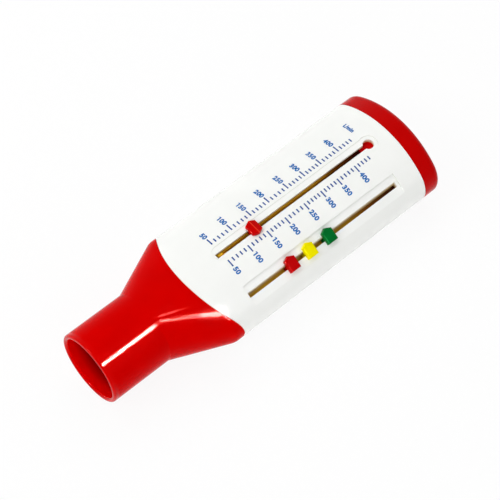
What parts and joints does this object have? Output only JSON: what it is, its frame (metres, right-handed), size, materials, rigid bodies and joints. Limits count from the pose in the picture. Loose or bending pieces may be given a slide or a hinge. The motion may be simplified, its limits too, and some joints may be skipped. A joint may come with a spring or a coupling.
{
  "type": "peak flow meter",
  "caption": "Hand-held peak flow meter: red round mouthpiece widening into a white oval body with a slotted scale, sliding pointer, zone markers and red end cap.",
  "frame": {"origin": "middle of the base of the bounding box, with the meter lying on its back and the scale upwards", "axes": "+X from the mouthpiece towards the end cap, +Z out of the scale, +Y across the scale away from the marker slot"},
  "size_m": [0.1571, 0.0512, 0.0317],
  "materials": {
    "white_abs": "satin moulded",
    "red_abs": "glossy moulded",
    "amber_acetal": "plain moulded",
    "steel_wire": "drawn",
    "natural_acetal": "plain moulded",
    "soft_rubber": "matt",
    "slippery_ptfe": "turned",
    "spring_wire": "coiled",
    "red_slider": "glossy moulded",
    "yellow_slider": "glossy moulded",
    "green_slider": "glossy moulded"
  },
  "bodies": {
    "housing": {"body_shell": "white_abs", "mouthpiece": "red_abs", "end_cap": "red_abs", "measuring_barrel": "amber_acetal", "rod_support": "red_abs", "guide_rod": "steel_wire", "rod_nut": "natural_acetal", "stop_washer": "soft_rubber", "piston_spring": "spring_wire", "spring_seat": "natural_acetal", "end_buffer": "soft_rubber"},
    "piston_set": {"piston": "amber_acetal", "piston_bush": "slippery_ptfe"},
    "pointer": {"pointer_head": "red_slider", "pointer_foot": "natural_acetal"},
    "red_slider": {"red_marker": "red_slider", "red_marker_foot": "natural_acetal"},
    "yellow_slider": {"yellow_marker": "yellow_slider", "yellow_marker_foot": "natural_acetal"},
    "green_slider": {"green_marker": "green_slider", "green_marker_foot": "natural_acetal"}
  },
  "joints": [
    {"name": "piston_slide", "type": "slide", "parent": "housing", "child": "piston_set", "axis": [1, 0, 0], "range_m": [0, 0.0665], "stiffness_N_per_m": 8, "springref_m": -0.03, "deforming": ["piston_spring"]},
    {"name": "pointer_slide", "type": "slide", "parent": "housing", "child": "pointer", "axis": [1, 0, 0], "range_m": [0, 0.0533]},
    {"name": "red_marker_slide", "type": "slide", "parent": "housing", "child": "red_slider", "axis": [1, 0, 0], "range_m": [-0.0184, 0]},
    {"name": "yellow_marker_slide", "type": "slide", "parent": "housing", "child": "yellow_slider", "axis": [1, 0, 0], "range_m": [-0.00405, 0.0049]},
    {"name": "green_marker_slide", "type": "slide", "parent": "housing", "child": "green_slider", "axis": [1, 0, 0], "range_m": [0, 0.0336]}
  ],
  "couplings": [
    {"joint": "pointer_slide", "follows": "piston_slide", "ratio": 0.8015}
  ]
}
